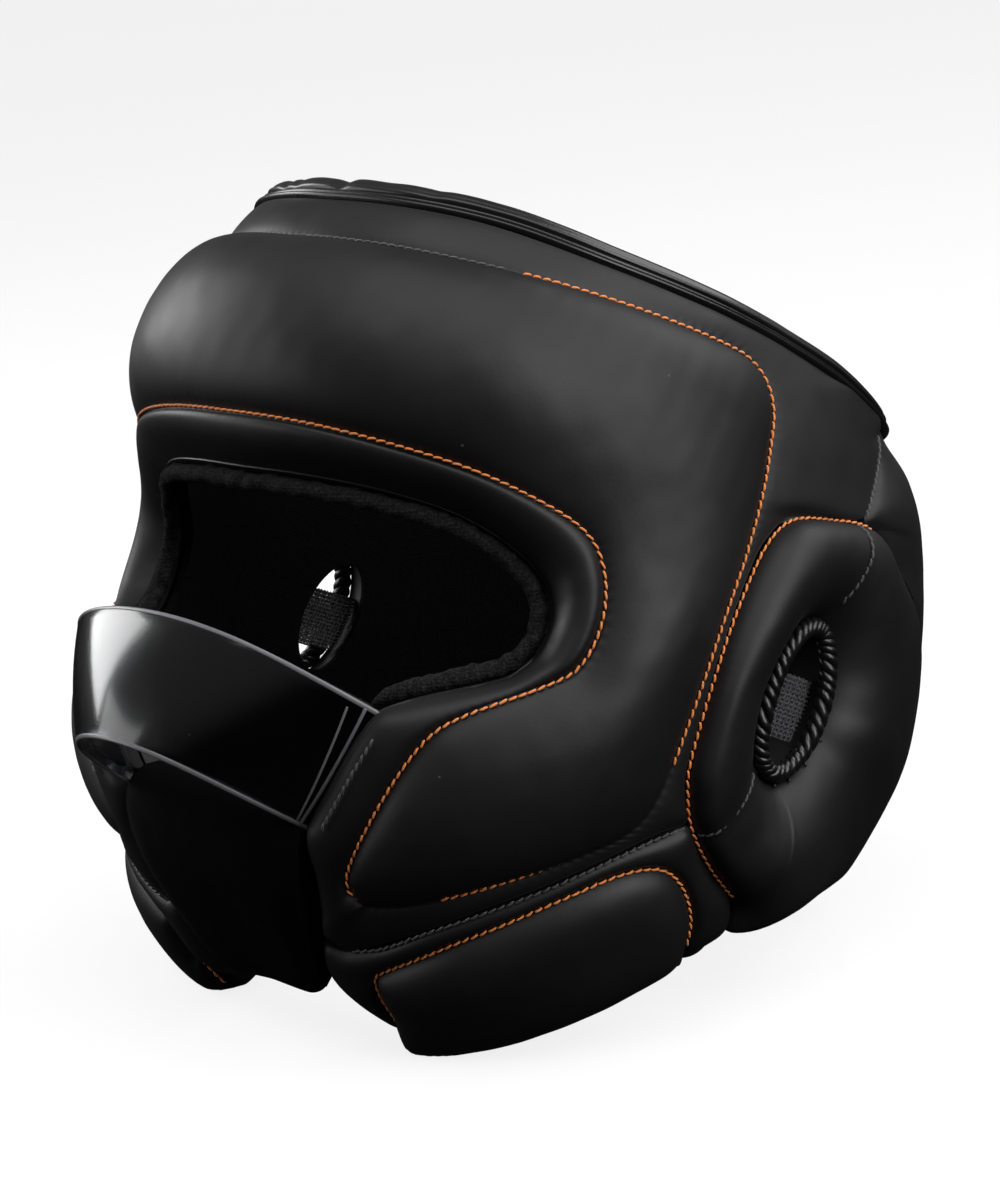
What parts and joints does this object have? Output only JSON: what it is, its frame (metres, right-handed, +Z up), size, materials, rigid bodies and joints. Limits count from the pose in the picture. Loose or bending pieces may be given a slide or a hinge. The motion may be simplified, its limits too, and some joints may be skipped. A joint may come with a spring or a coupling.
{
  "type": "boxing headgear with face bar",
  "caption": "Padded leather boxing headgear with a clear bowed face bar, stuffed brow, cheek, ear and jaw pads, mesh ear holes and an open crown.",
  "frame": {"origin": "middle of the footprint, on the surface that the headgear stands on", "axes": "+Z up, the face looks along -Y, the wearer's left is +X"},
  "size_m": [0.2308, 0.2606, 0.2243],
  "materials": {
    "leather": "matte black synthetic leather with a soft sheen",
    "rim_leather": "glossy black leather",
    "lining_cloth": "brushed black lining cloth",
    "ear_mesh": "black open mesh",
    "clear_bar": "clear glossy plastic",
    "accent_thread": "orange sewing thread",
    "seam_thread": "black sewing thread"
  },
  "bodies": {
    "root": {"front_pad": "leather", "shell_panel": "leather", "crown_rim": "rim_leather", "crown_piping": "rim_leather", "chin_piece": "lining_cloth", "lining": "lining_cloth", "lining_roll": "lining_cloth", "face_bar": "clear_bar", "back_strap": "leather", "ear_pad_left": "leather", "ear_rope_left": "rim_leather", "ear_mesh_left": "ear_mesh", "jaw_panel_left": "leather", "jaw_pad_left": "leather", "back_panel_left": "leather", "ear_pad_right": "leather", "ear_rope_right": "rim_leather", "ear_mesh_right": "ear_mesh", "jaw_panel_right": "leather", "jaw_pad_right": "leather", "back_panel_right": "leather"}
  },
  "joints": []
}
